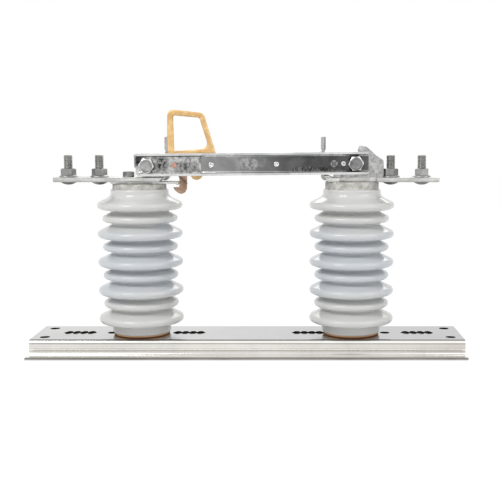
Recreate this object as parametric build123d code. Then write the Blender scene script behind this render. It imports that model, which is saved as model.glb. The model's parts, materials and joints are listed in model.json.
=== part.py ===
"""Hook-stick operated disconnect switch: one pole on two porcelain posts.

The switch stands on a formed channel base. +X runs along the base from the jaw end
to the hinge end, +Y points to the back, +Z is up. The origin is the centre of the
base's underside. All sizes are millimetres. The blade is shown closed.
"""
from math import acos, atan2, cos, degrees, hypot, radians, sin, sqrt, tan
import os

from build123d import *

# Base channel: a hat section bent from sheet.
sheet = 3.0
base_length = 616.0
base_width = 152.0
base_top_width = 102.0
base_height = 23.0
bend_outside = 5.0
corner_hole_x = 290.5
corner_hole_y = 30.0
base_hole_radius = 7.15
chain_slot_centres = (-246.0, -87.0, 87.0, 246.0)
chain_slot_pitch = 11.0
chain_slot_lobes = 4
single_hole_x = 199.0

# Insulator posts: sheds of two sizes in turn, over a plain foot.
post_spacing = 304.8
post_shift = -3.1
jaw_x = post_shift - post_spacing / 2
post_x = post_shift + post_spacing / 2
foot_ring_height = 3.0
foot_ring_inset = 1.9
porcelain_height = 207.3
foot_radius = 42.0
foot_round = 2.6
neck_radius = 41.2
top_round = 2.0
shed_pitch = 41.0
big_sheds = 5
first_shed = 20.5
small_shed_rise = 22.0
big_shed_radius = 60.9
small_shed_radius = 53.9
big_tip_round = 5.8
small_tip_round = 4.9
shed_top_slope = 25.0
shed_under_slope = 5.0
shed_root_round = 2.4
shed_shoulder_round = 3.4
top_shoulder_round = 9.0
cap_radius = 38.3
cap_chamfer = 1.0
pad_underside = base_height + 221.1
porcelain_foot = base_height + foot_ring_height
porcelain_top = porcelain_foot + porcelain_height

# Small hex bolts, under the posts and on the pads.
foot_bolt_offset = 20.2
small_bolt_radius = 4.76
foot_bolt_depth = 22.0
small_hex_flats = 14.3
small_hex_height = 6.2
small_washer_height = 1.6
pad_bolt_depth = 4.5
bolt_end_gap = 0.5
small_washer_radius = 8.2
jaw_pad_bolt_x = -171.0
hinge_pad_bolt_x = 131.8

# Terminal pads, each with two studs and their flange nuts.
pad_thickness = 6.35
pad_width = 50.8
pad_top = pad_underside + pad_thickness
pad_corner = 4.0
jaw_pad_outer = -274.4
jaw_pad_inner = -118.8
hinge_pad_outer = 271.4
hinge_pad_inner = 121.5
hinge_pad_lip_rise = 2.4
tail_notch_left = 130.0
tail_notch_right = 183.0
jaw_studs_x = -234.8
hinge_studs_x = 226.8
stud_spacing = 44.45
stud_radius = 6.35
stud_top = 281.5
stud_tip_chamfer = 1.0
stud_head_radius = 12.6
stud_head_height = 4.8
nut_flats = 19.05
nut_height = 12.2
nut_chamfer = 1.4
nut_flange_radius = 13.2
nut_flange_height = 2.2
nut_relief = 14.2

# Upright horn at the back of each pad's inner end.
horn_thickness = 6.35
horn_near_y = 28.0
horn_far_y = 48.0
horn_top = 307.7
horn_waist_z = 286.5
horn_waist_cut = 4.0
horn_waist = 4.0
horn_bend = 3.0
jaw_horn_x = -119.4
hinge_horn_x = 109.2
ear_length = 16.0

# Latch keeper: a strip under the jaw pad, slotted for the latch hook.
keeper_thickness = 3.0
keeper_width = 32.0
keeper_left = -194.0
keeper_right = -97.8
keeper_slot_width = 16.0
keeper_slot_end = -114.0
keeper_tip = 4.0
keeper_tip_drop = 1.5

# Blade: two channels back to back, with their flanges outwards.
hinge_x = 153.7
hinge_z = 270.0
blade_droop = 0.55
blade_reach = 314.4
blade_tail = 18.2
blade_height = 31.75
blade_rise = 0.8
blade_sheet = 3.2
blade_bend = 3.4
blade_gap = 9.5
flange_reach = 9.0
flange_edge_round = 0.6
jaw_cut_length = 10.7
jaw_cut_height = 13.7
jaw_corner = 5.0
tail_corner = 3.0
jaw_bolt_at = 296.1
pivot_at = 257.4
latch_tie_at = 205.2
middle_tie_at = 112.5
guide_pin_at = 31.0
stop_pin_at = 17.2
doubler_sheet = 2.2
doubler_from = 312.0
doubler_to = 219.7
running_gap = 0.3
running_clearance = 0.08

# Bolts, ties and pins across the blade.
cross_bolt_radius = 6.35
cross_head_height = 8.0
cross_washer_radius = 9.4
cross_washer_chamfer = 1.1
cross_washer_height = 1.6
spring_washer_height = 3.2
cross_nut_height = 10.5
cross_bolt_tip = 3.5
tie_radius = 3.2
tie_spacer_radius = 5.0
tie_head_radius = 4.0
tie_head_height = 1.6
guide_pin_radius = 3.6
guide_pin_head = 4.8
stop_pin_radius = 3.4
stop_pin_stand = 0.8
pivot_radius = 3.4
pivot_head_height = 1.2
pivot_collar_radius = 6.2

# Jaw contact and hinge bracket, in the gap of the blade.
contact_half = blade_gap - running_gap
contact_wall = 4.6
contact_length = 34.0
contact_rise = 30.0
contact_lead = 2.0
contact_slot = 9.5
bracket_foot = 4.0
bracket_left = 123.0
bracket_slot_half = 3.2
bracket_slot_floor = 258.0
bracket_nose = 12.0
bracket_corner = 3.0

# Pull ring, latch hook and spring, which turn together on the pivot.
ring_half = 4.0
ring_edge_round = 1.8
ring_foot_z = 283.0
ring_foot_left, ring_foot_right = -114.0, -45.4
ring_left_side = (-114.7, 317.0)
ring_top_left = (-113.6, 346.7)
ring_top_right = (-62.6, 341.4)
ring_left_round, ring_right_round = 8.4, 10.0
window_low_left = (-105.0, 287.3)
window_top_left = (-106.1, 337.9)
window_top_right = (-68.5, 334.4)
window_low_right = (-55.0, 290.8)
window_left_round, window_top_round, window_low_round = 2.5, 4.0, 9.0
fork_half = 5.9
hook_half = 3.0
fork_slot_half = 3.1
fork_slot_top = 279.0
hub_radius = 11.0
lobe_radius = 8.0
lobe_x, lobe_z = -73.2, 254.3
tie_clearance = 0.6
hook_eye = 9.0
hook_rivet_x, hook_rivet_z = -84.0, 265.0
hook_rivet_radius = 2.5
hook_rivet_stand = 0.8
wire_radius = 0.55
coil_radius = 8.0
coil_turns = 2
coil_pitch = 1.15
coil_near_y = -8.85
spring_bend = 1.3
spring_tail = 6.0
spring_tip_x, spring_tip_z = -86.89, 241.0


def slab(outline, near_y, far_y):
    """An outline drawn in X and Z, given its thickness along Y."""
    return Pos(0, near_y, 0) * extrude(Plane.XZ * outline, amount=far_y - near_y, dir=(0, 1, 0))


def outline(*points):
    """A closed straight-sided outline."""
    return make_face(Polyline(*points, close=True))


def rounded(shape, corners, radius):
    """Round the corners of an outline that lie at the points given."""
    for corner in corners:
        place = Vector(*corner)
        nearest = min(shape.vertices(), key=lambda vertex: (Vector(vertex) - place).length)
        shape = fillet(nearest, radius)
    return shape


def cross_rod(x, z, radius, near_y, far_y):
    """A round bar along Y."""
    return Pos(x, (near_y + far_y) / 2, z) * Rot(90, 0, 0) * Cylinder(radius, far_y - near_y)


def cross_hex(x, z, flats, near_y, far_y):
    """A hexagon bar along Y."""
    return slab(Pos(x, z) * RegularPolygon(flats / 2, 6, major_radius=False), near_y, far_y)


def upright(x, y, radius, low, high):
    """A round bar along Z."""
    return Pos(x, y, (low + high) / 2) * Cylinder(radius, high - low)


def upright_hex(x, y, flats, low, high):
    """A hexagon bar along Z."""
    return extrude(Pos(x, y, low) * RegularPolygon(flats / 2, 6, major_radius=False), amount=high - low)


def block(x_low, x_high, y_low, y_high, z_low, z_high):
    """A rectangular block between two corners."""
    centre = ((x_low + x_high) / 2, (y_low + y_high) / 2, (z_low + z_high) / 2)
    return Pos(*centre) * Box(x_high - x_low, y_high - y_low, z_high - z_low)


def closed(shape):
    """Turn a piece of the level blade down to where the closed blade lies."""
    turn = Pos(hinge_x, 0, hinge_z) * Rot(0, -blade_droop, 0) * Pos(-hinge_x, 0, -hinge_z)
    return turn * shape


def on_blade(distance):
    """The X and Z of a point on the closed blade's line of holes."""
    turn = radians(blade_droop)
    return hinge_x - distance * cos(turn), hinge_z - distance * sin(turn)


pivot_x, pivot_z = on_blade(pivot_at)
tie_x, tie_z = on_blade(latch_tie_at)


def foot_bolt_places():
    """The offsets of the four bolts under a post."""
    return [(sx * foot_bolt_offset, sy * foot_bolt_offset) for sx in (-1, 1) for sy in (-1, 1)]


def base_channel():
    """The hat-section base with its mounting holes and slots."""
    web = base_top_width / 2
    lip = base_width / 2
    inner = web - sheet
    under = base_height - sheet
    section = outline((-lip, 0), (-inner, 0), (-inner, under), (inner, under), (inner, 0), (lip, 0),
                      (lip, sheet), (web, sheet), (web, base_height), (-web, base_height),
                      (-web, sheet), (-lip, sheet))
    section = rounded(section, [(web, base_height), (-web, base_height), (inner, 0), (-inner, 0)],
                      bend_outside)
    section = rounded(section, [(inner, under), (-inner, under), (web, sheet), (-web, sheet)],
                      bend_outside - sheet)
    channel = extrude(Plane.YZ * section, amount=base_length / 2, both=True)

    def drill(x, y, radius=base_hole_radius):
        return upright(x, y, radius, under - 1, base_height + 1)

    cuts = [drill(sx * corner_hole_x, sy * corner_hole_y) for sx in (-1, 1) for sy in (-1, 1)]
    cuts += [drill(side * single_hole_x, 0) for side in (-1, 1)]
    for centre in chain_slot_centres:
        first = centre - chain_slot_pitch * (chain_slot_lobes - 1) / 2
        cuts += [drill(first + lobe * chain_slot_pitch, 0) for lobe in range(chain_slot_lobes)]
    for x in (jaw_x, post_x):
        cuts += [drill(x + dx, dy, small_bolt_radius) for dx, dy in foot_bolt_places()]
    return channel - cuts


def shed(z, tip_radius, tip_round, neck):
    """The three stretches of a shed's outline: its underside, its tip and its sloping top."""
    under, over = radians(shed_under_slope), radians(shed_top_slope)
    middle = tip_radius - tip_round
    low = (middle - tip_round * sin(under), z - tip_round * cos(under))
    high = (middle + tip_round * sin(over), z + tip_round * cos(over))
    root = (neck, low[1] + (low[0] - neck) * tan(under))
    shoulder = (neck_radius, high[1] + (high[0] - neck_radius) * tan(over))
    return [Line(root, low), ThreePointArc(low, (tip_radius, z), high), Line(high, shoulder)]


def post_outline():
    """Half the section of a post: foot, sheds of two sizes in turn, and top neck."""
    sides = []
    for count in range(big_sheds):
        z = porcelain_foot + first_shed + count * shed_pitch
        sides.append(shed(z, big_shed_radius, big_tip_round, foot_radius if count == 0 else neck_radius))
        if count < big_sheds - 1:
            sides.append(shed(z + small_shed_rise, small_shed_radius, small_tip_round, neck_radius))
    edges = [Line((0, porcelain_foot), (foot_radius, porcelain_foot))]
    for side in sides:
        edges.append(Line(edges[-1] @ 1, side[0] @ 0))
        edges += side
    edges += Polyline(edges[-1] @ 1, (neck_radius, porcelain_top), (0, porcelain_top)).edges()
    edges.append(Line((0, porcelain_top), (0, porcelain_foot)))
    section = make_face(edges)
    section = rounded(section, [side[0] @ 0 for side in sides], shed_root_round)
    section = rounded(section, [side[-1] @ 1 for side in sides[:-1]], shed_shoulder_round)
    section = rounded(section, [sides[-1][-1] @ 1], top_shoulder_round)
    section = rounded(section, [(foot_radius, porcelain_foot)], foot_round)
    return rounded(section, [(neck_radius, porcelain_top)], top_round)


def porcelain(x):
    """One post, turned about its axis, with blind holes for its foot bolts."""
    body = Pos(x, 0, 0) * revolve(Plane.XZ * post_outline(), Axis.Z)
    return body - [upright(x + dx, dy, small_bolt_radius, porcelain_foot - 1,
                           porcelain_foot + foot_bolt_depth) for dx, dy in foot_bolt_places()]


def foot_ring(x):
    """The bare ring between a post and the base."""
    ring = upright(x, 0, foot_radius - foot_ring_inset, base_height, porcelain_foot)
    return ring - [upright(x + dx, dy, small_bolt_radius, base_height, porcelain_foot)
                   for dx, dy in foot_bolt_places()]


def foot_bolts(x):
    """The four hex bolts that hold a post from under the base."""
    under = base_height - sheet
    bolts = []
    for dx, dy in foot_bolt_places():
        head = upright_hex(x + dx, dy, small_hex_flats, under - small_hex_height, under)
        bolts.append(head + upright(x + dx, dy, small_bolt_radius, under,
                                    porcelain_foot + foot_bolt_depth - 1))
    return Compound(children=bolts)


def post_cap(x, height_top, bolt_x=None):
    """The rough metal cap cemented on a post, drilled for its pad bolt."""
    cap = upright(x, 0, cap_radius, porcelain_top, height_top)
    cap = chamfer(cap.edges().filter_by(GeomType.CIRCLE).sort_by(Axis.Z)[-1], cap_chamfer)
    return cap - upright(bolt_x, 0, small_bolt_radius, height_top - pad_bolt_depth, height_top)


def pad_bolt(x, seat, cap_top):
    """A hex bolt and washer that hold a pad down on a cap."""
    top = seat + small_washer_height
    washer = upright(x, 0, small_washer_radius, seat, top)
    head = upright_hex(x, 0, small_hex_flats, top, top + small_hex_height)
    return washer + head + upright(x, 0, small_bolt_radius, cap_top - pad_bolt_depth + bolt_end_gap, seat)


def stud_places():
    """The X of the four terminal studs, from left to right."""
    places = []
    for centre in (jaw_studs_x, hinge_studs_x):
        places += [centre - stud_spacing / 2, centre + stud_spacing / 2]
    return places


def horn(x, side):
    """The upright strip behind a pad's inner end; side points to the middle."""
    outer = x + side * horn_thickness / 2
    inner = x - side * horn_thickness / 2
    root = inner - side * 2 * horn_bend
    strip = outline((inner, pad_top), (root, pad_top), (root, pad_underside), (outer, pad_underside),
                    (outer, horn_top), (inner, horn_top))
    strip = rounded(strip, [(outer, pad_underside)], horn_bend + horn_thickness / 2)
    strip = rounded(strip, [(inner, pad_top), (outer, horn_top), (inner, horn_top)], horn_bend / 2)
    offset = horn_waist / 2 + horn_waist_cut
    for flank in (-1, 1):
        strip -= Pos(x + flank * offset, horn_waist_z) * Circle(horn_waist_cut)
    return slab(strip, horn_near_y, horn_far_y)


def pad_ear(x, side):
    """The flat ear that carries the horn past the pad's back edge."""
    flush = x - side * (horn_thickness / 2 + horn_bend)
    low, high = sorted((flush, flush - side * ear_length))
    return block(low, high, pad_width / 2 - 1, horn_far_y, pad_underside, pad_top)


def stud_holes(x_low, x_high):
    """Cuts for the terminal studs that lie between two X."""
    return [upright(x, 0, stud_radius, pad_underside, pad_top)
            for x in stud_places() if x_low < x < x_high]


def terminal_pad_jaw():
    """The jaw-end terminal bar with its bevelled inner end and its horn."""
    half = pad_width / 2
    bar = block(jaw_pad_outer, jaw_pad_inner, -half, half, pad_underside, pad_top)
    bar = fillet(bar.edges().filter_by(Axis.Z).sort_by(Axis.X)[:2], pad_corner)
    bevel = outline((jaw_pad_inner, pad_underside), (jaw_pad_inner, pad_top),
                    (jaw_pad_inner - pad_thickness, pad_underside))
    bar -= slab(bevel, -half, half)
    bar += pad_ear(jaw_horn_x, 1)
    bar += horn(jaw_horn_x, 1)
    return bar - stud_holes(jaw_pad_outer, jaw_x) - upright(jaw_pad_bolt_x, 0, small_bolt_radius,
                                                            pad_underside, pad_top)


def terminal_pad_hinge():
    """The hinge-end terminal bar, necked where the blade tails swing down."""
    half = pad_width / 2
    lip_tip = pad_top + hinge_pad_lip_rise
    bar = block(tail_notch_right, hinge_pad_outer, -half, half, pad_underside, pad_top)
    bar = fillet(bar.edges().filter_by(Axis.Z).sort_by(Axis.X)[-2:], pad_corner)
    bar += block(tail_notch_left, tail_notch_right, -contact_half, contact_half, pad_underside, pad_top)
    bar += block(hinge_pad_inner, tail_notch_left, -half, half, pad_underside, pad_top)
    lip = outline((hinge_pad_inner, pad_underside), (hinge_pad_inner, pad_top),
                  (hinge_pad_inner - pad_thickness, lip_tip),
                  (hinge_pad_inner - 2 * pad_thickness, lip_tip),
                  (hinge_pad_inner - pad_thickness - 1, pad_underside))
    bar += slab(lip, -half, half)
    bar += pad_ear(hinge_horn_x, -1)
    bar += horn(hinge_horn_x, -1)
    return bar - stud_holes(post_x, hinge_pad_outer) - upright(hinge_pad_bolt_x, 0, small_bolt_radius,
                                                               pad_underside, pad_top)


def latch_keeper():
    """The slotted strip that the latch hook closes under."""
    low, high = pad_underside - keeper_thickness, pad_underside
    side = outline((keeper_left, low), (keeper_right - keeper_tip, low),
                   (keeper_right - keeper_tip / 2, low - keeper_tip_drop),
                   (keeper_right, low - keeper_tip_drop), (keeper_right, high), (keeper_left, high))
    strip = slab(side, -keeper_width / 2, keeper_width / 2)
    slot = block(keeper_slot_end, keeper_right + 1, -keeper_slot_width / 2, keeper_slot_width / 2,
                 low - keeper_tip, high)
    slot = fillet(slot.edges().filter_by(Axis.Z).sort_by(Axis.X)[:2], keeper_tip)
    return strip - slot - upright(jaw_pad_bolt_x, 0, small_bolt_radius, low, high)


def terminal_bolt(x):
    """A round-headed stud, put through a pad from below."""
    ball = (stud_head_radius ** 2 + stud_head_height ** 2) / (2 * stud_head_height)
    low = pad_underside - stud_head_height
    head = Pos(x, 0, low + ball) * Sphere(ball) & upright(x, 0, stud_head_radius, low, pad_underside)
    shank = upright(x, 0, stud_radius, pad_underside, stud_top)
    shank = chamfer(shank.edges().filter_by(GeomType.CIRCLE).sort_by(Axis.Z)[-1], stud_tip_chamfer)
    return head + shank


def terminal_nut(x):
    """A hex nut with a flange, on a stud."""
    corner = nut_flats / 2 / cos(radians(30))
    round_top = upright(x, 0, corner, pad_top, pad_top + nut_height)
    round_top = chamfer(round_top.edges().filter_by(GeomType.CIRCLE).sort_by(Axis.Z)[-1], nut_chamfer)
    body = upright_hex(x, 0, nut_flats, pad_top, pad_top + nut_height) & round_top
    flange = upright(x, 0, nut_flange_radius, pad_top, pad_top + nut_flange_height)
    return body + flange - upright(x, 0, stud_radius, pad_top, pad_top + nut_height)


def jaw_contact():
    """The U-shaped contact that the closed blade straddles, open for the jaw bolt."""
    bolt_x, bolt_z = on_blade(jaw_bolt_at)
    left, right = bolt_x - contact_length / 2, bolt_x + contact_length / 2
    high = pad_top + contact_rise
    half, inside = contact_half, contact_half - contact_wall
    section = outline((-half, pad_top), (half, pad_top), (half, high - contact_lead * 2),
                      (half - contact_lead, high), (inside, high), (inside, pad_top + contact_wall),
                      (-inside, pad_top + contact_wall), (-inside, high), (-half + contact_lead, high),
                      (-half, high - contact_lead * 2))
    contact = Pos(left, 0, 0) * extrude(Plane.YZ * section, amount=right - left, dir=(1, 0, 0))
    contact -= cross_rod(bolt_x, bolt_z, contact_slot, -half, half)
    return contact - block(bolt_x - contact_slot, bolt_x + contact_slot, -half, half, bolt_z, high)


def hinge_bracket():
    """The forked bracket that carries the hinge and stops the open blade."""
    stop_x = hinge_x + stop_pin_radius + running_gap * 2
    low = pad_top
    body = outline((bracket_left, low), (193.4, low), (193.9, 269.6), (193.1, 274.7), (181.9, 282.0),
                   (176.1, 287.8), (168.9, 293.7), (160.6, 295.1), (stop_x, 288.4), (stop_x, hinge_z),
                   (hinge_x - 8, hinge_z - 9), (141.5, low + bracket_foot),
                   (bracket_left, low + bracket_foot))
    body = rounded(body, [(193.1, 274.7), (168.9, 293.7)], bracket_corner)
    body += Pos(hinge_x, hinge_z) * Circle(bracket_nose)
    bracket = slab(body, -contact_half, contact_half)
    bracket -= block(bracket_left, 200, -bracket_slot_half, bracket_slot_half, bracket_slot_floor, 300)
    bracket -= cross_rod(hinge_x, hinge_z, cross_bolt_radius + running_clearance,
                         -contact_half, contact_half)
    bracket -= upright(stud_places()[2], 0, nut_relief, low, low + nut_height + 1)
    return bracket - upright(hinge_pad_bolt_x, 0, small_bolt_radius, low, low + bracket_foot)


def blade_profile():
    """The side outline of a blade, level, with its cut jaw corner."""
    low = hinge_z + blade_rise - blade_height / 2
    high = low + blade_height
    left, right = hinge_x - blade_reach, hinge_x + blade_tail
    shape = outline((left, low + jaw_cut_height), (left + jaw_cut_length, low), (right, low),
                    (right, high), (left, high))
    shape = rounded(shape, [(left, high)], jaw_corner)
    return rounded(shape, [(right, low), (right, high)], tail_corner)


def blade(side):
    """One channel of the blade; side is -1 in front and 1 behind."""
    low = hinge_z + blade_rise - blade_height / 2
    high = low + blade_height
    back, front, edge = blade_gap, blade_gap + blade_sheet, blade_gap + blade_sheet + flange_reach
    section = outline((back, low), (edge, low), (edge, low + blade_sheet), (front, low + blade_sheet),
                      (front, high - blade_sheet), (edge, high - blade_sheet), (edge, high), (back, high))
    section = rounded(section, [(front, low + blade_sheet), (front, high - blade_sheet)], blade_bend)
    section = rounded(section, [(back, low), (back, high)], blade_bend + blade_sheet)
    channel = Pos(hinge_x - blade_reach, 0, 0) * extrude(
        Plane.YZ * section, amount=blade_reach + blade_tail, dir=(1, 0, 0))
    channel &= slab(blade_profile(), back, edge)
    for distance, radius in ((jaw_bolt_at, cross_bolt_radius), (pivot_at, pivot_radius),
                             (latch_tie_at, tie_radius), (middle_tie_at, tie_radius),
                             (guide_pin_at, guide_pin_radius), (stop_pin_at, stop_pin_radius),
                             (0, cross_bolt_radius)):
        channel -= cross_rod(hinge_x - distance, hinge_z, radius, back, edge)
    if side < 0:
        channel = mirror(channel, Plane.XZ)
    return closed(channel)


def doubler(side):
    """The L-shaped liner in a channel, from the jaw to past the latch."""
    low = hinge_z + blade_rise - blade_height / 2 + blade_sheet
    high = low + blade_height - 2 * blade_sheet - blade_bend
    back = blade_gap + blade_sheet
    edge = back + flange_reach
    front = back + doubler_sheet
    section = outline((back, low), (edge, low), (edge, low + doubler_sheet), (front, low + doubler_sheet),
                      (front, high), (back, high))
    section = rounded(section, [(back, low)], blade_bend)
    section = rounded(section, [(front, low + doubler_sheet)], blade_bend - doubler_sheet)
    liner = Pos(hinge_x - doubler_from, 0, 0) * extrude(
        Plane.YZ * section, amount=doubler_from - doubler_to, dir=(1, 0, 0))
    liner &= slab(blade_profile(), back, edge)
    liner -= cross_rod(hinge_x - jaw_bolt_at, hinge_z, cross_bolt_radius, back, edge)
    liner -= cross_rod(hinge_x - pivot_at, hinge_z, pivot_radius, back, edge)
    if side < 0:
        liner = mirror(liner, Plane.XZ)
    return closed(liner)


def cross_bolt(distance, seat):
    """A hex bolt through both channels, with its head in front."""
    x = hinge_x - distance
    head_back = -seat - cross_washer_height
    far = seat + spring_washer_height + cross_nut_height + cross_bolt_tip
    head = cross_hex(x, hinge_z, nut_flats, head_back - cross_head_height, head_back)
    return closed(head + cross_rod(x, hinge_z, cross_bolt_radius, head_back, far))


def cross_washers(distance, seat):
    """The flat washer in front and the spring washer behind, chamfered to fit the bends."""
    x = hinge_x - distance
    washers = []
    for near, far in ((-seat - cross_washer_height, -seat), (seat, seat + spring_washer_height)):
        washer = cross_rod(x, hinge_z, cross_washer_radius, near, far)
        rims = washer.edges().filter_by(GeomType.CIRCLE).sort_by(lambda rim: abs(rim.center().Y))
        washer = chamfer(rims[0], cross_washer_chamfer)
        washers.append(closed(washer - cross_rod(x, hinge_z, cross_bolt_radius, near, far)))
    return Compound(children=washers)


def cross_nut(distance, seat):
    """The nut behind the blade."""
    x = hinge_x - distance
    near = seat + spring_washer_height
    nut = cross_hex(x, hinge_z, nut_flats, near, near + cross_nut_height)
    return closed(nut - cross_rod(x, hinge_z, cross_bolt_radius, near, near + cross_nut_height))


def tie_rivet(distance, radius, head_radius, head_height, shoulder=0.0):
    """A riveted bar across the blade, with a head on each channel."""
    x = hinge_x - distance
    outside = blade_gap + blade_sheet
    bar = cross_rod(x, hinge_z, radius, -outside, outside)
    for near, far in ((-outside - head_height, -outside), (outside, outside + head_height)):
        bar += cross_rod(x, hinge_z, head_radius, near, far)
    if shoulder:
        bar += cross_rod(x, hinge_z, shoulder, -blade_gap, blade_gap)
    return closed(bar)


def tie_spacers():
    """The sleeves that keep the channels apart at the two ties."""
    sleeves = []
    for distance in (latch_tie_at, middle_tie_at):
        x = hinge_x - distance
        sleeve = cross_rod(x, hinge_z, tie_spacer_radius, -blade_gap, blade_gap)
        sleeves.append(closed(sleeve - cross_rod(x, hinge_z, tie_radius, -blade_gap, blade_gap)))
    return Compound(children=sleeves)


def ring_pivot_pin():
    """The pin that the ring and hook turn on, riveted over the doublers."""
    outside = blade_gap + blade_sheet + doubler_sheet
    x = hinge_x - pivot_at
    return closed(cross_rod(x, hinge_z, pivot_radius, -outside - pivot_head_height,
                            outside + pivot_head_height))


def pivot_collars():
    """The two collars that hold the fork in the middle of the gap."""
    collars = []
    for near, far in ((-blade_gap, -fork_half - running_gap), (fork_half + running_gap, blade_gap)):
        collar = cross_rod(pivot_x, pivot_z, pivot_collar_radius, near, far)
        collars.append(collar - cross_rod(pivot_x, pivot_z, pivot_radius, near, far))
    return Compound(children=collars)


def ring_window():
    """The opening that the hook stick enters."""
    window = outline(window_low_left, window_top_left, window_top_right, window_low_right)
    window = rounded(window, [window_low_right], window_low_round)
    window = rounded(window, [window_top_right], window_top_round)
    return rounded(window, [window_low_left, window_top_left], window_left_round)


def ring_loop():
    """The flat ring above the blade, with rounded cast edges."""
    ring = outline((ring_foot_left, ring_foot_z), ring_left_side, ring_top_left, ring_top_right,
                   (ring_foot_right, ring_foot_z))
    ring = rounded(ring, [ring_top_left], ring_left_round)
    ring = rounded(ring, [ring_top_right], ring_right_round)
    loop = slab(ring - ring_window(), -ring_half, ring_half)
    rims = [edge for side in (-1, 1) for edge in loop.edges().filter_by_position(
        Axis.Y, side * ring_half, side * ring_half)]
    return fillet(rims, ring_edge_round)


def pull_ring():
    """The cast ring with the fork below it that holds the latch hook."""
    fork = outline((-114.0, 288), (-114.0, 266), (pivot_x, pivot_z - hub_radius), (-80.5, 251.5),
                   (-66.0, 251.5), (-58.5, 262.0), (-57.5, 272.0), (-50.0, 275.5), (-43.8, 276.5),
                   (-46.2, 286))
    fork += Pos(pivot_x, pivot_z) * Circle(hub_radius)
    fork += Pos(lobe_x, lobe_z) * Circle(lobe_radius)
    fork -= Pos(tie_x, tie_z) * Circle(tie_spacer_radius + tie_clearance)
    casting = slab(fork - ring_window(), -fork_half, fork_half) + ring_loop()
    casting -= block(ring_left_side[0], ring_foot_right, -fork_slot_half, fork_slot_half,
                     lobe_z - lobe_radius, fork_slot_top)
    casting -= cross_rod(hook_rivet_x, hook_rivet_z, hook_rivet_radius, -fork_half, fork_half)
    return casting - cross_rod(pivot_x, pivot_z, pivot_radius + running_clearance, -fork_half, fork_half)


def latch_hook():
    """The flat hook that hangs from the fork and closes under the keeper."""
    shape = outline((-106.5, 262.5), (-99.0, 254), (-97.6, 245), (-98.0, 235.9), (-106.9, 235.6),
                    (-104.9, 231.8), (-99.4, 227.2), (-95.0, 226.0), (-90.3, 228.2), (-87.6, 233),
                    (-87.2, 252), (-80.0, 258), (-78.0, 268), (-98.0, 274))
    shape = rounded(shape, [(-95.0, 226.0), (-90.3, 228.2), (-99.4, 227.2)], 2.5)
    shape = rounded(shape, [(-98.0, 235.9)], 1.5)
    shape += Pos(pivot_x, pivot_z) * Circle(hook_eye)
    hook = slab(shape, -hook_half, hook_half)
    hook -= cross_rod(hook_rivet_x, hook_rivet_z, hook_rivet_radius, -hook_half, hook_half)
    return hook - cross_rod(pivot_x, pivot_z, pivot_radius + running_clearance, -hook_half, hook_half)


def hook_rivet():
    """The rivet that fixes the hook in the fork."""
    reach = fork_half + hook_rivet_stand
    return cross_rod(hook_rivet_x, hook_rivet_z, hook_rivet_radius, -reach, reach)


def latch_spring():
    """The torsion spring round the pivot, with its long leg hooked behind the latch hook."""
    reach = hypot(spring_tip_x - pivot_x, spring_tip_z - pivot_z)
    leg_end = atan2(spring_tip_z - pivot_z, spring_tip_x - pivot_x) - acos(coil_radius / reach)
    helix = Helix(coil_pitch, coil_pitch * coil_turns, coil_radius, lefthand=True)
    helix = Pos(pivot_x, coil_near_y, pivot_z) * Rot(0, -degrees(leg_end), 0) * Rot(-90, 0, 0) * helix
    halves = 2 * coil_turns
    coil = [ThreePointArc(*(helix @ ((half + share) / halves) for share in (0, 0.5, 1)))
            for half in range(halves)]
    leg_way = coil[-1] % 1
    corner = coil[-1] @ 1 + leg_way * sqrt(reach ** 2 - coil_radius ** 2)
    leg = Line(coil[-1] @ 1, corner - leg_way * spring_bend)
    bend = TangentArc(leg @ 1, corner + Vector(0, spring_bend, 0), tangent=leg_way)
    tail = Line(bend @ 1, bend @ 1 + bend % 1 * spring_tail)
    path = Wire([*coil, leg, bend, tail])
    return sweep(Plane(origin=path @ 0, z_dir=path % 0) * Circle(wire_radius), path=path)


def write(name, shape):
    """Write one piece as a STEP file."""
    export_step(shape, f"parts/{name}.step")


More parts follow.
